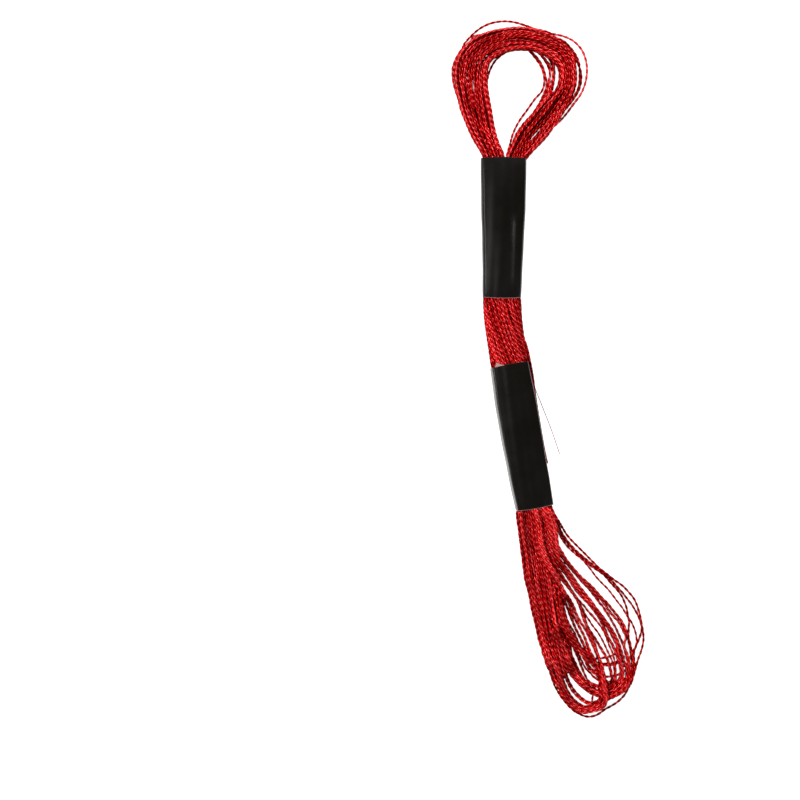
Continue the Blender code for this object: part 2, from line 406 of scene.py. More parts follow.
def strandTree():
    # each spline becomes a closed, twisted strand of two plies
    tree = bpy.data.node_groups.new("twistedStrands", "GeometryNodeTree")
    face = tree.interface
    face.new_socket("Geometry", in_out="INPUT", socket_type="NodeSocketGeometry")
    for title, kind, value in [
            ("Step", "NodeSocketFloat", sampling * mm), ("Width", "NodeSocketFloat", floss["width"] * mm),
            ("Thickness", "NodeSocketFloat", floss["thickness"] * mm),
            ("Pitch", "NodeSocketFloat", floss["pitch"] * mm), ("Waist", "NodeSocketFloat", 0.78),
            ("Shade", "NodeSocketFloat", 0.0), ("Sides", "NodeSocketInt", 8),
            ("Seed", "NodeSocketInt", 3)]:
        face.new_socket(title, in_out="INPUT", socket_type=kind).default_value = value
    face.new_socket("Material", in_out="INPUT", socket_type="NodeSocketMaterial")
    face.new_socket("Geometry", in_out="OUTPUT", socket_type="NodeSocketGeometry")
    given = tree.nodes.new("NodeGroupInput").outputs
    made = tree.nodes.new("NodeGroupOutput").inputs

    def store(geometry, name, value, domain="POINT", kind="FLOAT"):
        return addNode(tree, "GeometryNodeStoreNamedAttribute", {"domain": domain, "data_type": kind},
                       Geometry=geometry, Name=name, Value=value).outputs[0]

    even = addNode(tree, "GeometryNodeResampleCurve", {"mode": "LENGTH"},
                   Curve=given["Geometry"], Length=given["Step"]).outputs[0]
    index = addNode(tree, "GeometryNodeInputIndex").outputs[0]
    draw = addNode(tree, "FunctionNodeRandomValue", i7=index, i8=given["Seed"]).outputs[1]
    even = store(even, "tone", draw, "CURVE")
    # painted shade, given for each piece and taken off its colour
    even = store(even, "shade", given["Shade"], "CURVE")
    reach = addNode(tree, "GeometryNodeSplineParameter").outputs["Length"]
    even = store(even, "along", reach)
    spot = addNode(tree, "GeometryNodeInputPosition").outputs[0]
    even = store(even, "spine", spot, kind="FLOAT_VECTOR")
    tone = addNode(tree, "GeometryNodeInputNamedAttribute", Name="tone").outputs[0]
    turns = sums(tree, "SUBTRACT", sums(tree, "MULTIPLY", tone, floss["starts"]),
                 sums(tree, "DIVIDE", reach, given["Pitch"]))
    even = addNode(tree, "GeometryNodeSetCurveTilt", Curve=even,
                   Tilt=sums(tree, "MULTIPLY", turns, 2 * math.pi)).outputs[0]

    ring = addNode(tree, "GeometryNodeCurvePrimitiveCircle", Resolution=given["Sides"],
                   Radius=1.0).outputs[0]
    place = addNode(tree, "GeometryNodeInputPosition").outputs[0]
    ring = store(ring, "round", place, kind="FLOAT_VECTOR")
    parts = addNode(tree, "ShaderNodeSeparateXYZ", Vector=place).outputs
    side = sums(tree, "ABSOLUTE", parts["X"])
    waist = sums(tree, "MULTIPLY_ADD", sums(tree, "SUBTRACT", 1.0, given["Waist"]), side, given["Waist"])
    halfWidth = sums(tree, "MULTIPLY", given["Width"], 0.5)
    plump = sums(tree, "MULTIPLY", given["Thickness"], floss["plump"])
    flat = addNode(tree, "ShaderNodeCombineXYZ", X=sums(tree, "MULTIPLY", parts["X"], halfWidth),
                   Y=sums(tree, "MULTIPLY", sums(tree, "MULTIPLY", parts["Y"], waist), plump)).outputs[0]
    ring = addNode(tree, "GeometryNodeSetPosition", Geometry=ring, Position=flat).outputs[0]

    size = addNode(tree, "GeometryNodeInputRadius").outputs[0]
    body = addNode(tree, "GeometryNodeCurveToMesh", i0=even, i1=ring, i2=size, i3=True).outputs[0]
    spine = addNode(tree, "GeometryNodeInputNamedAttribute", {"data_type": "FLOAT_VECTOR"},
                    Name="spine").outputs[0]
    off = addNode(tree, "ShaderNodeVectorMath", {"operation": "SUBTRACT"}, i0=spot, i1=spine).outputs[0]
    off = addNode(tree, "ShaderNodeVectorMath", {"operation": "NORMALIZE"}, i0=off).outputs[0]
    above = addNode(tree, "ShaderNodeSeparateXYZ", Vector=off).outputs["Z"]
    body = store(body, "above", above)
    body = addNode(tree, "GeometryNodeSetShadeSmooth", Geometry=body).outputs[0]
    body = addNode(tree, "GeometryNodeRealizeInstances", Geometry=body).outputs[0]
    body = addNode(tree, "GeometryNodeSetMaterial", Geometry=body,
                   Material=given["Material"]).outputs[0]
    tree.links.new(body, made["Geometry"])
    return tree


def asMesh(obj, name):
    # what the modifiers show, as a plain mesh in place of obj
    bpy.context.view_layer.update()
    graph = bpy.context.evaluated_depsgraph_get()
    data = bpy.data.meshes.new_from_object(obj.evaluated_get(graph), preserve_all_data_layers=True,
                                           depsgraph=graph)
    data.name = name
    bpy.data.objects.remove(obj)
    made = bpy.data.objects.new(name, data)
    sceneObjects.link(made)
    return made


tuck = {
    "near": 1.5,        # strands this close to a sleeve's edge are led inside it
    "gap": 0.42,        # what they keep clear of the edge
    "widening": 1.3,    # how fast the way widens in front of the mouth
    "low": 0.55,        # how high strands may lie at the sleeve's edge
    "high": 3.0,        # and how much higher in its middle
    "rising": 1.1,      # how fast that height grows in front of the mouth
}


def tucked(points):
    # where a strand runs into a sleeve it keeps inside the paper
    points = np.array(points, float)
    for size in sleeves.values():
        top, end = np.array(size["top"]), np.array(size["end"])
        long = np.linalg.norm((end - top)[:2])
        axis = (end - top)[:2] / long
        side = np.array((-axis[1], axis[0]))
        reach = (points[:, :2] - top[:2]) @ axis
        aside = (points[:, :2] - top[:2]) @ side
        outside = np.maximum(0, np.maximum(-reach, reach - long))
        half = (top[2] + (end[2] - top[2]) * np.clip(reach / long, 0, 1)) / 2
        near = np.abs(aside) < half + tuck["near"]
        limit = half - tuck["gap"] + outside * tuck["widening"]
        closer = np.where(near, np.clip(aside, -limit, limit), aside)
        points[:, :2] += (closer - aside)[:, None] * side
        share = np.clip(np.abs(closer) / half, 0, 1)
        ceiling = tuck["low"] + tuck["high"] * (1 - share**5) + outside * tuck["rising"]
        points[:, 2] = np.where(near, np.minimum(points[:, 2], ceiling), points[:, 2])
    return points


def strands(name, routes, material, sizes=None, **inputs):
    data = bpy.data.curves.new(name + "Lines", "CURVE")
    data.dimensions = "3D"
    for i, route in enumerate(routes):
        spline = data.splines.new("POLY")
        spline.points.add(len(route) - 1)
        spline.points.foreach_set("co", np.c_[route * mm, np.ones(len(route))].ravel())
        spline.points.foreach_set("radius", np.full(len(route), sizes[i] if sizes else 1.0))
    lines = bpy.data.objects.new(name + "Lines", data)
    sceneObjects.link(lines)
    twist = lines.modifiers.new("twist", "NODES")
    twist.node_group = twistedStrands
    inputs = {"Material": material, **inputs}
    for item in twistedStrands.interface.items_tree:
        if item.in_out == "INPUT" and item.name in inputs:
            twist[item.identifier] = inputs[item.name]
    return asMesh(lines, name)


twistedStrands = strandTree()
redFloss = flossMaterial()


# The loose end, on the route that the CAD tube takes.
looseEnd = {
    "route": (
        (-5.35, 6.20, 2.30), (-4.95, 4.90, 2.20), (-4.60, 3.40, 1.95), (-4.25, 1.80, 1.55),
        (-3.90, 0.20, 1.10), (-3.58, -1.50, 0.72), (-3.28, -3.40, 0.46), (-3.05, -5.40, 0.34),
        (-2.75, -7.60, 0.30), (-2.40, -9.90, 0.30), (-2.02, -12.30, 0.30), (-1.62, -14.70, 0.30),
        (-1.22, -17.10, 0.30), (-0.80, -19.50, 0.30), (-0.34, -21.90, 0.30), (0.30, -24.80, 0.30)),
    "steps": 2,
    "diameter": 0.5,
    "flatness": 0.9,
    # a ply that has come away beside it, and one filament
    "frays": (
        ((-6.4, 9.0, 2.25), (-5.7, 6.6, 2.2), (-5.2, 4.6, 1.95), (-4.8, 2.9, 1.65),
         (-4.44, 1.4, 1.2), (-4.15, -0.1, 0.8), (-3.9, -1.8, 0.5), (-3.64, -3.6, 0.34),
         (-3.4, -5.2, 0.26)),
        ((-3.4, -3.8, 0.5), (-2.6, -6.0, 0.5), (-1.6, -8.5, 0.45), (-0.5, -11.3, 0.4),
         (0.7, -14.3, 0.35), (1.8, -17.3, 0.3), (2.75, -20.1, 0.25), (3.5, -22.4, 0.2))),
    "fraySizes": (0.95, 0.36),
    "shade": 0.22,      # painted shade: the thread is drawn darker here than in the hank
}


def smoothRows(rows, steps):
    # points on a Catmull-Rom curve through rows
    rows = np.array(rows, float)
    held = np.vstack([2 * rows[0] - rows[1], rows, 2 * rows[-1] - rows[-2]])
    read = []
    for a, b, c, d in zip(held, held[1:], held[2:], held[3:]):
        for t in np.arange(steps) / steps:
            read.append(0.5 * (2 * b + (c - a) * t + (2 * a - 5 * b + 4 * c - d) * t**2
                               + (3 * b - a - 3 * c + d) * t**3))
    return np.array([*read, rows[-1]])


def makeLooseEnd():
    print("loose end")
    route = smoothRows(looseEnd["route"], looseEnd["steps"])
    look = {"Width": looseEnd["diameter"] * mm, "Shade": looseEnd["shade"],
            "Thickness": looseEnd["flatness"] * looseEnd["diameter"] * mm}
    thread = strands("looseEnd", [route], redFloss, **look)
    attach(thread, "root")
    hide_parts("loose_end")
    frays = strands("looseFrays", [flowThrough(line) for line in looseEnd["frays"]], redFloss,
                    looseEnd["fraySizes"], **look)
    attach(frays, "root")


# The fanned side of each kind of turn, from just below the sleeve down to the knot: how far
# across it is at each of these depths, or at as many of them as it has.
depths = (-40, -43, -46, -48, -50, -52, -54, -56, -58, -60, -61, -62, -63, -64, -66, -68, -70,
          -72, -74, -76, -78, -80, -82, -84, -85.6)
fanLines = {
    "outer": (3.3, 5.2, 7.8, 9.7, 11.7, 13.7, 16.4, 19.1, 21.1, 22.8, 23.3, 23.7, 24.0, 24.3, 24.7, 25.2,
        25.4, 25.1, 24.5, 23.7, 23.0),
    "edge": (2.9, 4.2, 6.4, 8.4, 10.5, 12.9, 15.7, 17.7, 19.6, 21.2, 21.9, 22.5, 23.1, 23.7, 24.5, 24.7,
        24.3, 23.5, 22.8, 22.8, 22.8),
    "second": (2.5, 3.7, 5.8, 7.8, 10.0, 12.5, 15.2, 17.0, 18.6, 19.9, 20.3, 20.7, 21.0, 21.2, 21.6, 21.3,
        21.3, 21.7, 22.2, 22.4, 22.2),
    "fine": (2.2, 3.3, 5.2, 7.1, 9.5, 11.2, 12.9, 14.6, 16.3, 17.9, 18.7, 19.6, 20.3, 20.9, 22.1, 22.9,
        23.4, 23.3, 22.3, 21.5, 21.3),
    "wideA": (1.8, 2.5, 2.8, 4.0, 5.4, 7.0, 8.7, 10.7, 12.8, 14.8, 15.8, 16.6, 17.4, 18.2, 19.6, 20.5, 21.2,
        21.8, 22.0, 22.4, 22.6, 22.0, 21.2),
    "wideB": (1.4, 2.1, 2.5, 3.6, 5.0, 6.6, 8.3, 10.2, 12.2, 14.1, 14.9, 15.6, 16.2, 17.0, 18.7, 19.9, 20.7,
        20.2, 20.9, 21.4, 21.7, 21.6, 21.0),
    "wideC": (1.0, 1.7, 2.1, 3.2, 4.6, 6.3, 8.0, 9.7, 11.6, 13.2, 13.8, 14.6, 15.2, 15.9, 17.2, 18.3, 19.2,
        20.1, 20.6, 21.1, 21.2, 21.1, 20.6),
    "darkA": (0.6, 1.3, 2.0, 2.8, 3.7, 5.2, 6.6, 7.9, 9.5, 11.1, 11.9, 12.6, 13.4, 14.1, 15.5, 16.9, 18.1,
        18.9, 19.6, 20.1, 20.8, 20.8, 20.2),
    "darkB": (0.2, 0.8, 1.5, 2.3, 3.1, 4.5, 5.9, 7.2, 8.8, 10.4, 11.3, 12.1, 12.9, 13.6, 15.0, 16.4, 17.4,
        18.4, 18.7, 19.2, 19.6, 19.7, 19.3),
    "darkC": (-0.2, 0.3, 0.9, 1.6, 2.5, 3.8, 5.2, 6.5, 7.9, 9.7, 10.8, 11.6, 12.4, 13.1, 14.3, 15.3, 16.1,
        17.2, 18.0, 18.6, 19.1, 19.2, 18.8),
    "darkD": (-0.6, -0.2, 0.4, 1.0, 1.8, 2.9, 4.1, 5.4, 6.7, 8.3, 9.1, 10.0, 10.7, 11.6, 13.2, 14.6, 15.6,
        16.3, 17.2, 17.7, 18.0, 18.1, 18.0),
    "innerA": (-1.0, -0.6, 0.0, 0.6, 1.4, 2.5, 3.8, 5.2, 6.6, 8.1, 8.7, 9.1, 9.6, 10.0, 11.4, 12.8, 14.1,
        15.3, 16.2, 17.1, 17.6, 17.7, 17.8),
    "innerB": (-1.4, -1.0, -0.4, 0.2, 1.0, 2.1, 3.5, 5.0, 6.5, 7.9, 8.4, 8.9, 9.3, 9.8, 10.3, 11.2, 12.5,
        13.7, 14.8, 15.9, 16.6, 17.0, 17.2),
    "over": (-1.8, -1.5, -0.9, -0.2, 0.6, 1.7, 3.1, 4.9, 6.3, 7.8, 8.3, 8.7, 9.0, 9.3, 10.0, 10.9, 11.8,
        12.7, 13.2, 13.9, 14.5, 14.9, 15.2, 15.4, 15.5),
    "closeA": (-2.3, -2.0, -1.4, -0.9, -0.2, 0.9, 2.2, 3.5, 4.6, 5.9, 6.5, 7.1, 7.5, 7.9, 9.0, 10.2, 11.1,
        12.1, 12.9, 13.6, 14.0, 14.5, 14.8, 15.0),
    "closeB": (-2.8, -2.5, -1.9, -1.4, -0.7, 0.4, 1.7, 3.0, 4.1, 5.3, 5.9, 6.3, 6.6, 6.9, 7.9, 9.0, 9.9,
        10.6, 11.4, 12.7, 13.5, 14.1, 14.4, 14.5),
    "closeC": (-3.3, -3.0, -2.5, -2.0, -1.3, -0.2, 1.1, 2.3, 3.3, 4.3, 4.8, 5.2, 5.7, 6.1, 7.0, 7.8, 8.8,
        9.8, 10.9, 12.4, 13.3, 13.8, 14.0, 14.0),
    "hidden": (-3.8, -3.5, -3.0, -2.5, -1.9, -1.1, -0.2, 0.8, 1.7, 2.5, 2.9, 3.3, 3.7, 4.2, 5.1, 5.9, 6.8,
        7.9, 9.6, 11.9, 13.2, 13.7, 13.9, 13.7),
}
# The bottom of the turns, from the knot on the right round to the close side, outermost first.
sweepLines = {
    "rejoin": ((22.4, -80.0), (21.8, -82.0), (21.0, -84.0), (20.5, -85.0), (19.6, -86.0), (18.4, -87.0),
        (16.9, -87.9), (15.2, -88.7), (14.3, -89.4), (13.2, -90.2), (12.0, -90.7), (10.8, -90.8),
        (9.6, -90.5), (8.4, -89.8), (6.4, -88.4), (4.8, -86.6), (3.2, -84.3), (1.7, -81.4), (0.7, -78.6)),
    "bottomA": ((15.3, -86.9), (14.4, -88.0), (13.0, -88.7), (11.4, -89.1), (9.8, -89.4), (8.4, -89.1),
        (6.9, -88.0), (5.5, -86.4), (4.1, -84.5), (2.8, -82.2), (1.6, -79.4), (0.7, -76.6)),
    "bottomB": ((14.7, -86.7), (13.6, -87.8), (12.0, -88.3), (10.2, -88.6), (8.6, -88.3), (7.1, -87.2),
        (5.8, -85.6), (4.6, -83.5), (3.4, -80.8), (2.4, -77.8)),
    "bottomC": ((14.0, -86.0), (12.8, -87.5), (11.2, -88.2), (9.6, -88.3), (7.9, -87.6), (6.5, -86.4),
        (5.3, -84.6), (4.3, -82.4), (3.4, -79.6), (2.7, -76.8)),
    "cross": ((20.4, -82.4), (19.0, -83.8), (17.4, -84.6), (15.8, -84.7), (14.2, -84.5), (12.9, -84.3),
        (12.1, -84.7), (11.85, -85.6), (11.85, -86.5), (11.4, -87.4), (10.3, -88.0), (9.0, -88.0),
        (7.6, -87.2), (6.4, -85.9), (5.3, -84.2), (4.3, -82.0), (3.4, -79.5), (2.8, -77.0)),
    "under": ((21.0, -82.2), (19.8, -83.8), (18.2, -84.8), (16.6, -85.7), (15.2, -86.6), (13.6, -87.2),
        (12.0, -87.9), (10.2, -88.1), (8.4, -87.4), (6.9, -86.0), (5.5, -83.9), (4.3, -81.2), (3.1, -78.0)),
    "slitA": ((20.8, -82.0), (19.6, -83.4), (18.0, -84.5), (16.4, -85.2), (14.6, -86.2), (12.8, -87.2),
        (11.2, -87.9), (9.6, -87.8), (8.2, -87.0), (7.0, -86.0), (5.9, -84.7), (5.0, -83.1), (4.2, -80.9),
        (3.5, -78.2)),
    "slitB": ((20.4, -81.8), (19.2, -83.0), (17.6, -84.1), (16.0, -84.9), (14.5, -85.7), (13.1, -86.8),
        (11.8, -87.2), (10.3, -86.9), (8.9, -86.0), (7.8, -84.9), (6.9, -83.7), (6.1, -82.2), (5.3, -80.3),
        (4.5, -78.2)),
    "broadA": ((20.2, -82.2), (18.8, -83.8), (17.2, -84.9), (15.4, -85.3), (13.8, -85.2), (12.4, -84.9),
        (11.4, -84.5), (10.4, -83.8), (9.4, -83.0), (8.4, -82.1), (7.4, -81.0), (6.4, -79.7), (5.6, -78.3),
        (4.8, -76.8)),
    "broadB": ((19.6, -82.2), (18.2, -83.6), (16.6, -84.5), (15.0, -84.7), (13.6, -84.6), (12.3, -84.2),
        (11.2, -83.6), (10.2, -82.9), (9.2, -82.0), (8.3, -81.0), (7.3, -79.7), (6.4, -78.3), (5.7, -76.8)),
    "broadC": ((19.0, -82.2), (17.6, -83.4), (16.0, -84.0), (14.6, -84.3), (13.4, -84.1), (12.3, -83.7),
        (11.2, -83.1), (10.3, -82.4), (9.4, -81.4), (8.5, -80.2), (7.7, -78.8), (7.0, -77.4), (6.3, -76.0),
        (5.7, -74.4)),
    "middleA": ((18.4, -82.0), (17.2, -83.0), (15.8, -83.3), (14.3, -83.1), (13.0, -82.8), (11.9, -82.4),
        (10.9, -81.9), (10.0, -81.1), (9.3, -80.0), (8.5, -78.6), (7.8, -77.1), (7.1, -75.6), (6.3, -74.0),
        (5.7, -72.4)),
    "middleB": ((17.8, -81.8), (16.6, -82.7), (15.2, -82.8), (13.9, -82.5), (12.7, -82.2), (11.6, -81.8),
        (10.7, -81.0), (10.1, -79.8), (9.5, -78.5), (8.9, -77.1), (8.3, -75.7), (7.7, -74.3), (7.1, -73.0),
        (6.4, -71.4)),
    "innerC": ((17.6, -81.6), (16.4, -82.3), (15.2, -81.9), (14.0, -81.2), (13.0, -80.8), (12.2, -80.2),
        (11.4, -79.3), (10.6, -78.6), (9.9, -77.6), (9.2, -76.2), (8.5, -74.8), (7.8, -73.4), (7.1, -72.0),
        (6.5, -70.4)),
    "innerA": ((17.2, -81.4), (16.2, -82.0), (15.2, -81.4), (14.1, -80.4), (13.3, -79.6), (12.4, -78.9),
        (11.4, -78.1), (10.7, -77.1), (10.1, -75.8), (9.3, -74.4), (8.4, -72.9), (7.6, -71.6),
        (7.0, -70.2)),
    "innerB": ((20.8, -78.2), (19.7, -79.2), (18.4, -79.9), (17.2, -80.2), (16.0, -80.3), (14.9, -80.1),
        (13.9, -79.5), (13.1, -78.7), (12.4, -77.8), (11.6, -77.0), (10.8, -76.1), (10.1, -75.0),
        (9.4, -73.9), (8.7, -72.7), (8.0, -71.4), (7.4, -70.0)),
    "highA": ((20.0, -75.2), (19.1, -76.1), (17.8, -76.8), (16.6, -77.1), (15.4, -77.2), (14.2, -77.1),
        (13.1, -76.9), (12.0, -76.3), (11.0, -75.5), (10.0, -74.4), (9.2, -73.2), (8.4, -72.0),
        (7.6, -70.6)),
    "highB": ((19.2, -73.2), (18.1, -74.3), (16.8, -75.0), (15.4, -75.3), (14.0, -75.4), (12.8, -75.4),
        (11.8, -75.1), (10.9, -74.6), (10.1, -73.8), (9.3, -72.8), (8.6, -71.7), (8.0, -70.5),
        (7.5, -69.2)),
}
# The close side, both of its edges, from the bottom up into the sleeve.
closeSide = (
    (-1.3, -73.0, 6.4, -68.8), (-2.9, -67.0, 5.2, -65.2), (-4.1, -62.0, 4.5, -61.0),
    (-5.2, -57.0, 3.8, -56.0), (-6.3, -50.0, 2.4, -49.0), (-7.3, -43.0, 0.8, -42.4),
    (-7.8, -38.0, -0.4, -37.0), (-7.9, -35.6, -0.8, -34.6), (-8.1, -33.8, -1.1, -33.0),
)
# The edges of the mass under the fan: its own turns lie lowest and are seldom seen.
massEdges = (
    (-7.6, -32.8, -1.2, -32.2), (-7.7, -37.0, 1.3, -35.9), (-7.4, -43.0, 2.7, -42.2),
    (-6.7, -48.0, 3.3, -47.4), (-5.9, -54.0, 3.6, -53.6), (-4.8, -59.0, 4.2, -58.8),
    (-3.7, -64.0, 5.0, -63.2), (-2.7, -68.0, 6.1, -67.4), (-1.9, -71.4, 6.6, -71.4),
    (-0.9, -75.0, 6.8, -75.2), (0.2, -78.0, 6.4, -78.0), (1.3, -80.4, 5.2, -79.8),
)
# Every turn, in the order in which they lie on each other: fan line, sweep and how many.
turns = (
    ("hidden", "bottomC", 2), ("hidden", "bottomB", 2), ("darkA", "highB", 1),
    ("darkB", "highA", 2), ("wideC", "innerB", 1), ("darkC", "innerB", 1), ("innerB", "innerA", 2),
    ("innerA", "innerC", 1), ("darkD", "innerC", 1), ("darkD", "middleB", 1),
    ("darkC", "middleB", 1), ("darkC", "middleA", 1), ("darkB", "middleA", 1),
    ("darkB", "broadC", 2), ("darkA", "broadB", 2), ("wideC", "broadA", 1), ("wideB", "broadA", 1),
    ("wideB", "broadC", 1), ("wideB", "cross", 1), ("wideA", "slitB", 2), ("second", "slitA", 1),
    ("edge", "under", 1), ("fine", "under", 1), ("closeC", "bottomC", 2), ("closeB", "bottomB", 2),
    ("closeA", "bottomA", 2), ("over", "bottomA", 1), ("over", "bottomB", 2),
    ("outer", "rejoin", 1),
)
lowerLoops = {
    "drift": (0.10, 17.0),    # how far twins sway together, and over what length
    "own": (0.04, 11.0),      # how far each strand sways by itself
    "mouth": (1.0, -4.6),     # where the fanned strands leave the sleeve, first and last
    "mouthLine": -36.0,
    "slant": 0.173,           # how far the sleeve leads aside for each millimetre along it
    "inside": 2.6,            # how far the strands run on inside the sleeve
    "joint": (0.9, 2.6),      # what is left out where fan and sweep, and sweep and leg, meet
    "beside": 0.50,           # how far apart twins of one fan line lie
    "thin": ("fine", "innerA", "darkD"),
    "thinSize": 0.9,
    "step": 0.46,             # between the points of a finished strand, also in the mass
}
lowerMass = {
    "turns": 26,
    "step": 0.618,            # from one turn to the next, as a share of the width
    "crossing": (0.3, 0.6),   # how far across a turn comes back
    "from": 0.03,             # where the shares begin, and how far they reach
    "over": 0.94,
    "drift": (0.12, 16.0),
}


def lowerRoute(fan, sweep, beside, mouth, lowShare, highShare):
    spread = np.column_stack([fanLines[fan], depths[:len(fanLines[fan])]])
    spread = spread[spread[:, 1] > sweepLines[sweep][0][1] + lowerLoops["joint"][0]]
    weight = np.r_[0, 0, np.full(len(spread), 0.35), np.ones(len(sweepLines[sweep]))]
    weight = np.convolve(np.pad(weight, 2, "edge"), (0.1, 0.2, 0.4, 0.2, 0.1), "valid")[:, None]
    inside = (mouth - lowerLoops["slant"] * lowerLoops["inside"],
              lowerLoops["mouthLine"] + lowerLoops["inside"])
    spread = np.vstack([inside, (mouth, lowerLoops["mouthLine"]), spread, sweepLines[sweep]])
    spread += across(spread) * beside * weight
    leg = inBand(closeSide, np.linspace(lowShare, highShare, len(closeSide))[:, None])
    leg = leg[leg[:, 1] > spread[-1, 1] + lowerLoops["joint"][1]]
    return flowThrough(np.vstack([spread, leg]))


def makeLowerMass():
    print("lower mass")
    start, over = lowerMass["from"], lowerMass["over"]
    routes = []
    for i in range(lowerMass["turns"]):
        turnRow = len(massEdges) - int(randomly.integers(0, 3))
        share = (i * lowerMass["step"] + 0.05) % 1
        other = (share + randomly.uniform(*lowerMass["crossing"])) % 1
        down = inBand(massEdges[:turnRow], start + over * share)
        up = inBand(massEdges[:turnRow][::-1], start + over * other)
        foot = (down[-1] + up[0]) / 2 - (0, abs(down[-1] - up[0])[0] * 0.5)
        line = flowThrough(np.vstack([down, foot, up]))
        line = line + across(line) * wander(len(line), *lowerMass["drift"])[:, None]
        routes.append(tucked(pressed(pile.lay(line))))
    return strands("lowerMass", routes, redFloss, Step=lowerLoops["step"] * mm)


def makeLowerLoops():
    print("lower loops")
    each = [(fan, sweep, k - (count - 1) / 2) for fan, sweep, count in turns for k in range(count)]
    total = len(each)
    fans, sweeps = list(fanLines), list(sweepLines)
    fanRank = np.argsort(np.argsort([fans.index(fan) + randomly.uniform(0, 0.5) for fan, _, _ in each]))
    sweepRank = np.argsort(np.argsort([sweeps.index(s) + randomly.uniform(0, 0.9) for _, s, _ in each]))
    first, last = lowerLoops["mouth"]
    routes, sizes = [], []
    for i, (fan, sweep, beside) in enumerate(each):
        mouth = first + (last - first) * fanRank[i] / total
        low = (sweepRank[i] + 0.5) / total
        high = float(np.clip(low + randomly.uniform(-0.3, 0.3), 0.02, 0.98))
        line = lowerRoute(fan, sweep, beside * lowerLoops["beside"], mouth, low, high)
        if i == 0 or each[i - 1][:2] != (fan, sweep):
            drift = wander(2000, *lowerLoops["drift"])
        own = wander(len(line), *lowerLoops["own"])
        line = line + across(line) * (drift[:len(line)] + own)[:, None]
        routes.append(tucked(pressed(pile.lay(line))))
        sizes.append(lowerLoops["thinSize"] if fan in lowerLoops["thin"] else 1.0)
    return strands("lowerLoops", routes, redFloss, sizes, Step=lowerLoops["step"] * mm)


# Both edges of the band, outer and inner, from the left leg over the top to the right leg.
upperBand = (
    (-15.6, 50.0, -11.6, 50.0), (-16.4, 54.6, -11.2, 54.8), (-18.6, 59.0, -12.6, 58.4),
    (-20.6, 63.0, -13.6, 62.0), (-22.4, 68.0, -14.5, 67.4), (-23.6, 73.0, -15.3, 72.0),
    (-23.8, 77.4, -15.6, 76.6), (-22.6, 81.6, -14.6, 79.8), (-20.0, 84.8, -12.7, 81.2),
    (-16.4, 86.8, -10.6, 82.2), (-11.6, 88.0, -8.4, 82.7), (-6.6, 88.4, -5.6, 82.8),
    (-2.2, 87.6, -2.8, 82.4), (2.0, 85.9, 0.0, 81.0), (5.2, 83.6, 2.4, 79.2),
    (7.2, 81.0, 3.5, 76.8), (7.7, 77.9, 3.4, 74.6), (7.6, 74.5, 2.6, 72.4), (6.8, 71.1, 0.4, 70.4),
    (5.1, 67.8, -1.7, 68.4), (3.1, 64.5, -3.7, 66.2), (0.9, 61.5, -5.8, 63.8),
    (-1.6, 58.5, -7.7, 61.2), (-3.9, 56.0, -9.1, 58.0), (-5.7, 53.6, -10.5, 54.6),
    (-6.9, 50.0, -10.9, 50.0),
)
# Strands that leave the band: the rows of the band where each one leaves and comes back, its share
# across the band there, and its own points between.
strayUpper = {
    "under": (8, 10, 0.06, ((-19.4, 86.0), (-17.0, 86.8), (-14.6, 87.3))),
    "left": (4, 8, 0.03, ((-24.3, 75.4), (-24.35, 78.2), (-23.4, 80.8), (-21.4, 83.6))),
    "bow": (7, 12, 0.08, ((-21.6, 83.8), (-19.5, 86.5), (-17.0, 88.6), (-14.0, 89.9), (-10.8, 90.3),
        (-7.6, 89.9), (-4.8, 88.8))),
    "inner": (4, 11, 0.97, ((-15.6, 72.6), (-15.3, 75.4), (-14.5, 77.9), (-13.2, 80.1), (-11.6, 81.5))),
    "right": (15, 20, 0.05, ((8.9, 77.6), (9.1, 74.8), (8.5, 72.4), (6.9, 69.8))),
    "rightB": (13, 19, 0.02, ((5.4, 84.2), (7.5, 81.8), (8.5, 79.0), (8.7, 76.0), (8.4, 73.2),
        (7.3, 70.8))),
    "hairA": (11, 20, 0.98, ((-3.2, 81.6), (-1.3, 79.2), (-0.3, 76.4), (0.1, 73.6), (-0.9, 70.8))),
    "hairB": (11, 20, 0.96, ((-2.4, 82.0), (-0.2, 79.8), (0.9, 77.0), (0.4, 73.6), (-0.6, 70.6))),
    "hairC": (12, 19, 0.97, ((-0.6, 80.6), (1.0, 78.6), (0.9, 75.6), (0.5, 72.0))),
    "hairD": (12, 19, 0.93, ((-0.2, 81.2), (1.4, 79.0), (1.8, 76.2), (1.3, 73.4), (0.6, 71.0))),
    "hairE": (13, 20, 0.94, ((1.5, 79.8), (2.1, 77.4), (1.9, 74.4), (1.3, 71.8))),
    "hairF": (13, 20, 0.90, ((1.6, 80.0), (1.8, 77.6), (1.5, 74.6), (0.9, 72.0))),
    "cut": (11, 24, 0.99, ((-3.0, 80.8), (-1.1, 77.8), (-0.5, 74.8), (-0.9, 72.6), (-3.0, 70.0),
        (-5.0, 67.2), (-7.0, 64.4), (-8.6, 61.2), (-9.6, 57.8))),
    "far": (11, 21, 0.04, ((1.4, 87.0), (4.2, 86.5), (7.0, 85.2), (9.2, 82.9), (10.3, 80.2), (10.6, 77.2),
        (10.1, 74.0), (8.9, 71.2), (7.0, 68.6), (5.0, 65.9), (3.3, 64.0))),
}
upperLoop = {
    "layers": (12, 13, 12, 10),   # strands of each layer, side by side
    "wander": 0.16,
    "wave": 18.0,
    "sway": 0.12,        # how far a strand moves across the band, as a share of its width
    "low": 2,            # how many of the strays lie under the layers
    "step": 0.5,
    "seed": 3,
}


def strayRoute(leave, back, share, points):
    band = inBand(upperBand, share)
    return flowThrough(np.vstack([band[:leave + 1], points, band[back:]]))


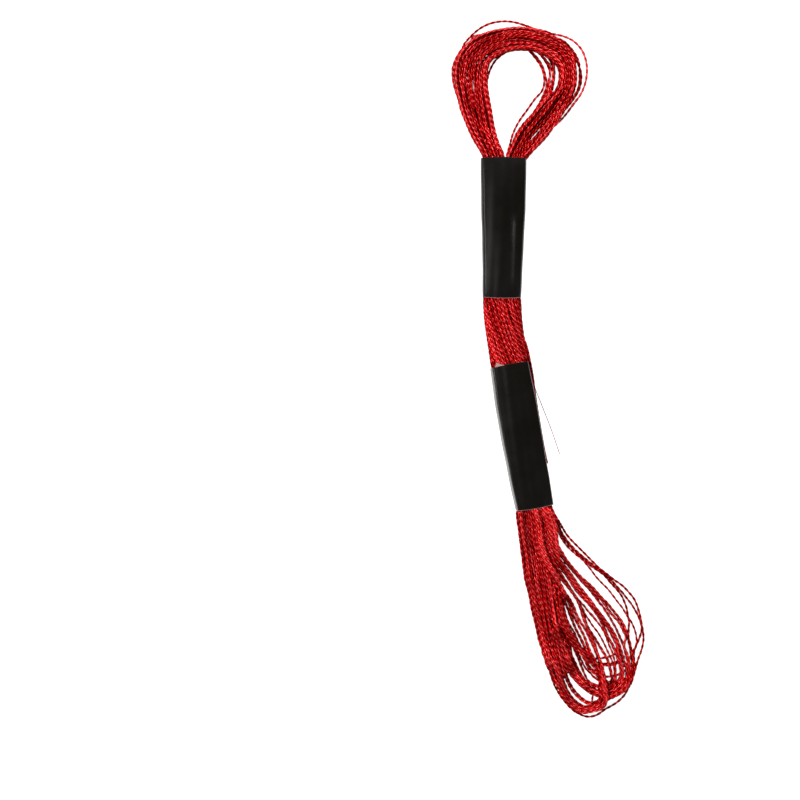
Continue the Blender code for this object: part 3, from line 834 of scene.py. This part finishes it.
def makeUpperLoop():
    print("upper loop")
    strays = [strayRoute(*stray) for stray in strayUpper.values()]
    lines = strays[:upperLoop["low"]]
    for count in upperLoop["layers"]:
        for i in randomly.permutation(count):
            share = (i + 0.5 + randomly.uniform(-0.3, 0.3)) / count
            sway = np.clip(share + upperLoop["sway"] * randomly.uniform(-1, 1, 5), 0.01, 0.99)
            lines.append(betweenEdges(upperBand, sway, upperLoop["wander"], upperLoop["wave"]))
    lines += strays[upperLoop["low"]:]
    routes = [tucked(pressed(pile.lay(line))) for line in lines]
    return strands("upperLoop", routes, redFloss, Step=upperLoop["step"] * mm,
                   Seed=upperLoop["seed"])


# The bare stretch between the sleeves is a flattened hank with a slight twist: its strands lie
# round it in layers.
bareStretch = {
    "edges": ((-15.9, 21.4, -7.2, 21.0), (-16.3, 18.4, -6.8, 18.2), (-16.1, 12.0, -6.35, 12.0),
              (-15.5, 6.0, -5.25, 6.0), (-14.8, 1.6, -4.6, 1.6), (-13.9, -1.6, -4.4, -1.4)),
    "height": 3.5,
    "layers": (44, 39, 33),      # strands round each layer, from the outside in
    "apart": 0.42,               # from one layer to the next
    "twist": 5.0,                # how far a strand moves round over the whole stretch
    "square": 0.72,              # 1 is an oval section, less is boxier
    "wander": 0.14,
    "wave": 13.0,
    "inset": 0.22,               # from the section's outline to the outer layer
    "uneven": 0.22,              # how uneven the gaps between strands are
    "depth": (-0.08, 0.03),      # how far strands leave their layer
    "lowest": 0.36,
    "sizes": (0.96, 0.8),        # of the hank's strands and of the one that leads to the loose end
    # painted shade: the bare stretch is drawn a little darker
    "shade": 0.07,
    "toLooseEnd": ((-7.6, 20.6, 1.8), (-7.1, 16.0, 2.0), (-6.7, 11.5, 2.15), (-6.1, 8.5, 2.3),
                   (-5.5, 6.6, 2.3), (-5.3, 6.05, 2.28)),
}


def hankSection(halfWide, halfHigh):
    # the section's outline, evenly spaced, from the middle of the top towards +X
    a = np.linspace(0, 2 * math.pi, 721)
    bend = bareStretch["square"]
    outline = np.column_stack([halfWide * np.sign(np.sin(a)) * abs(np.sin(a)) ** bend,
                               halfHigh * np.sign(np.cos(a)) * abs(np.cos(a)) ** bend])
    far = np.r_[0, np.cumsum(np.linalg.norm(np.diff(outline, axis=0), axis=1))]
    return far, outline


def makeBareStretch():
    print("bare stretch")
    rows = np.array(bareStretch["edges"], float)
    left, right = flowThrough(rows[:, :2]), flowThrough(rows[:, 2:])
    count = min(len(left), len(right))
    left, right = left[:count], right[:count]
    middle, half = (left + right) / 2, (right - left) / 2
    routes = []
    for k, around in enumerate(bareStretch["layers"]):
        inset = bareStretch["inset"] + bareStretch["apart"] * k
        far, outline = hankSection(np.linalg.norm(half, axis=1).mean() - inset,
                                   bareStretch["height"] / 2 - inset)
        for i in range(around):
            start = far[-1] * (i + bareStretch["uneven"] * randomly.uniform(-1, 1)) / around
            place = start + bareStretch["twist"] * np.linspace(-0.5, 0.5, count)
            place = (place + wander(count, bareStretch["wander"], bareStretch["wave"])) % far[-1]
            side = np.interp(place, far, outline[:, 0])
            rise = np.interp(place, far, outline[:, 1])
            depth = 1 + randomly.uniform(*bareStretch["depth"])
            spot = middle + half / np.linalg.norm(half, axis=1)[:, None] * side[:, None]
            rise = np.maximum(rise * depth + bareStretch["height"] / 2, bareStretch["lowest"])
            routes.append(np.column_stack([spot, rise]))
    routes.append(flowThrough(bareStretch["toLooseEnd"]))
    routes = [tucked(route) for route in routes]
    size, lastSize = bareStretch["sizes"]
    return strands("bareStretch", routes, redFloss, [size] * (len(routes) - 1) + [lastSize],
                   Shade=bareStretch["shade"])


# Each sleeve is one sheet of paper, folded flat round the hank and glued underneath.
sleevePaper = {
    "thickness": 0.18,
    "height": 4.5,
    "crown": 0.35,          # how much the flat faces bulge
    "lap": 3.2,             # glued overlap underneath
    "lapHeight": 0.22,      # how high the sheet above it lies
    "seam": 0.2,            # where the sheet begins, as a share of half its flat width
    "rows": 60,
    "black": (0.0030, 0.0024, 0.0018),
    "reverse": (0.30, 0.295, 0.285),
    "edge": (0.25, 0.13, 0.125),
}
sleeves = {
    "sleeveUpper": {"node": "sleeve_upper", "top": (-11.2, 54.3, 12.0), "end": (-11.65, 18.3, 9.85),
                    "fold": 0.7, "flap": 0.0, "corner": 0.0, "sag": 0.36, "ridge": 0.42,
                    "swell": 0.22, "shift": 0.12, "seed": 5},
    "sleeveLower": {"node": "sleeve_lower", "top": (-9.55, 0.85, 9.7), "end": (-2.95, -36.15, 9.5),
                    "fold": 0.35, "flap": 0.28, "corner": 1.1, "sag": 0.0, "ridge": 0.0,
                    "swell": 0.75, "shift": -0.12, "seed": 9},
}


def paperMaterial(name, colour, rough):
    material, tree, shader = newMaterial(name)
    grain = useGroup(tree, surfaceGrain, **{"Coarse scale": 120.0, "Fine scale": 5200.0})
    scuff = sums(tree, "MULTIPLY_ADD", grain["Grain"], 0.7, sums(tree, "MULTIPLY", grain["Drift"], 0.5))
    worn = colourRamp(tree, scuff, [(0.35, colour), (0.75, [c * 1.5 + 0.0004 for c in colour])])
    gloss = sums(tree, "MULTIPLY_ADD", grain["Drift"], 0.30, rough - 0.15, clamp=True)
    bump = addNode(tree, "ShaderNodeBump", Strength=0.4, Distance=0.00004, Height=grain["Height"])
    fill(tree, shader.inputs, {"Base Color": worn, "Roughness": gloss, "Normal": bump.outputs[0],
                               "Specular IOR Level": 0.10})
    return material


def sleeveRun(size):
    # how far the sleeve is turned and how long it is
    topX, topY, _ = size["top"]
    endX, endY, _ = size["end"]
    return math.atan2(endX - topX, topY - endY), math.hypot(endX - topX, topY - endY)


def foldArc(x, z, fold, squash, start, stop):
    # the rounded edge of the flattened tube
    angles = np.radians(np.linspace(start, stop, 13)[1:])
    return [(x + fold * math.cos(a), z + squash * math.sin(a)) for a in angles]


def sleeveOutline(width, height, fold, flap):
    # once round the flattened tube and on under itself, from the underside, clockwise from below
    flat = width / 2 - fold
    seam = -flat * sleevePaper["seam"]
    low = sleevePaper["lapHeight"]
    squash = (height - low) / 2
    points = [(x, low) for x in np.linspace(seam, -flat, 6)]
    points += foldArc(-flat, low + squash, fold, squash, -90, -270)
    points += [(x, height) for x in np.linspace(-flat, flat, 41)[1:]]
    points += foldArc(flat, height / 2, fold, height / 2, 90, -90)
    last = -width / 2 - flap if flap else seam - sleevePaper["lap"]
    points += [(x, 0.0) for x in np.linspace(flat, last, 12)[1:]]
    return points


def clamped(value):
    return min(1, max(0, value))


def faceRelief(size, share, t, phases):
    # how the upper face bulges, ripples, sags and creases, t of the way down the sleeve
    ripples = 0.035 * math.sin(5.5 * share + phases[2] + 1.5 * math.sin(3 * t + phases[3]))
    ripples += 0.02 * math.sin(13 * share + phases[4] + 4 * t)
    sag = clamped((t - 0.12) / 0.5) * size["sag"] * max(0, -share - 0.3) ** 1.3
    crease = clamped((t - 0.36) / 0.1) * clamped((0.99 - t) / 0.14) * (1.1 - 0.5 * t)
    crease *= size["ridge"] * math.exp(-((share - 0.67 + 0.05 * t) / 0.2) ** 2)
    return (sleevePaper["crown"] + ripples) * (1 - share * share) - sag + crease


def makeSleeve(name, blackPaper, cutPaper, palePaper):
    print(name)
    size = sleeves[name]
    rough = np.random.default_rng(size["seed"])
    topX, topY, topWidth = size["top"]
    turn, long = sleeveRun(size)
    rows = sleevePaper["rows"]
    phases = rough.uniform(0, 2 * math.pi, 5)
    verts, faces, papers = [], [], []
    steps = [0, 0.1 / long, *np.linspace(0.02, 0.98, rows - 3), 1 - 0.1 / long, 1]
    for r, t in enumerate(steps):
        width = topWidth + (size["end"][2] - topWidth) * t
        width += size["swell"] * math.sin(math.pi * t)
        width += 0.10 * math.sin(9 * t + phases[0]) + 0.05 * math.sin(23 * t + phases[1])
        pinch = 1 - 0.10 * (abs(2 * t - 1) ** 6)
        height = sleevePaper["height"] * pinch
        outline = sleeveOutline(width, height, size["fold"], size["flap"])
        for x, z in outline:
            share = x / (width / 2)
            face = z > height * 0.6
            if face:
                z += faceRelief(size, share, t, phases)
            lift = (1 - pinch) * 1.2 * (1 - z / height)
            y = -long * t - 0.25 * (1 - share * share) * (2 * t - 1)
            if r == 0 and face:
                y += size["corner"] * max(0, min((share + 0.82) / 0.1, (-0.38 - share) / 0.34))
            x += size["shift"] * math.sin(math.pi * t)
            verts.append((x * mm, y * mm, (z + lift + 0.02) * mm))
    count = len(outline)
    for r in range(rows):
        for c in range(count - 1):
            a = r * count + c
            faces.append((a, a + count, a + count + 1, a + 1))
            share, rise = outline[c][0] / (width / 2), outline[c][1]
            folded = r == 0 and size["corner"] and rise > 2 and -0.84 < share < -0.36
            papers.append(1 if r == rows - 1 or folded else 0)
    data = bpy.data.meshes.new(name + "Sheet")
    data.from_pydata(verts, [], faces)
    data.transform(Matrix.Translation((topX * mm, topY * mm, 0)) @ Matrix.Rotation(turn, 4, "Z"))
    for paper in (blackPaper, cutPaper, palePaper):
        data.materials.append(paper)
    data.polygons.foreach_set("material_index", papers)
    data.shade_smooth()
    sheet = bpy.data.objects.new(name + "Sheet", data)
    sceneObjects.link(sheet)
    thick = sheet.modifiers.new("paper", "SOLIDIFY")
    thick.thickness = sleevePaper["thickness"] * mm
    thick.offset = -1
    thick.use_rim = True
    thick.material_offset_rim = 1
    thick.material_offset = 2
    sleeve = asMesh(sheet, name)
    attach(sleeve, "root")
    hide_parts(size["node"])


hankHold = {"lift": 0.75, "run": 11.0}     # how high it lies in the sleeves, and the slope up to there


def holdInSleeves():
    # the hank is held up a little where it runs through the sleeves
    for size in sleeves.values():
        turn, long = sleeveRun(size)
        middle = [(a + b) / 2 for a, b in zip(size["top"][:2], size["end"][:2])]
        pile.hold(middle, turn, size["top"][2] / 2, long / 2, **hankHold)


floorLook = {"side": 3.0, "below": 0.0001, "tones": (0.38, 0.42), "rough": 0.9, "glow": 0.95}


def makeFloor():
    material, tree, shader = newMaterial("paleFloor")
    grain = useGroup(tree, surfaceGrain, **{"Coarse scale": 20.0, "Fine scale": 1500.0})
    dark, light = floorLook["tones"]
    fill(tree, shader.inputs, {
        "Base Color": colourRamp(tree, grain["Drift"], [(0.3, [dark] * 3), (0.7, [light] * 3)]),
        "Roughness": floorLook["rough"], "Emission Color": (1, 1, 1, 1),
        "Emission Strength": floorLook["glow"]})
    data = bpy.data.meshes.new("floor")
    side, low = floorLook["side"], -floorLook["below"]
    data.from_pydata([(-side, -side, low), (side, -side, low), (side, side, low), (-side, side, low)],
                     [], [(0, 1, 2, 3)])
    data.materials.append(material)
    floor = bpy.data.objects.new("floor", data)
    sceneObjects.link(floor)
    floor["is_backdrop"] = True


bpy.context.scene.view_settings.view_transform = "Standard"
addCamera()
addSky()
for lightName in ("left", "top", "fill"):
    addLight(lightName, **studio[lightName])
makeFloor()
holdInSleeves()
makeLooseEnd()
# the first three are laid on one pile, in this order
mass = makeLowerMass()
lower = makeLowerLoops()
upper = makeUpperLoop()
bare = makeBareStretch()
for piece in (mass, lower, upper, bare):
    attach(piece, "root")
    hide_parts("floss_hank")
blackPaper = paperMaterial("blackSleevePaper", sleevePaper["black"], 0.30)
palePaper = paperMaterial("paperReverse", sleevePaper["reverse"], 0.8)
cutPaper = paperMaterial("cutPaperEdge", sleevePaper["edge"], 0.8)
for sleeveName in sleeves:
    makeSleeve(sleeveName, blackPaper, cutPaper, palePaper)

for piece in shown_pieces():
    if piece.type == "MESH":
        piece.data.calc_loop_triangles()
        print(piece.name, "triangles", len(piece.data.loop_triangles))
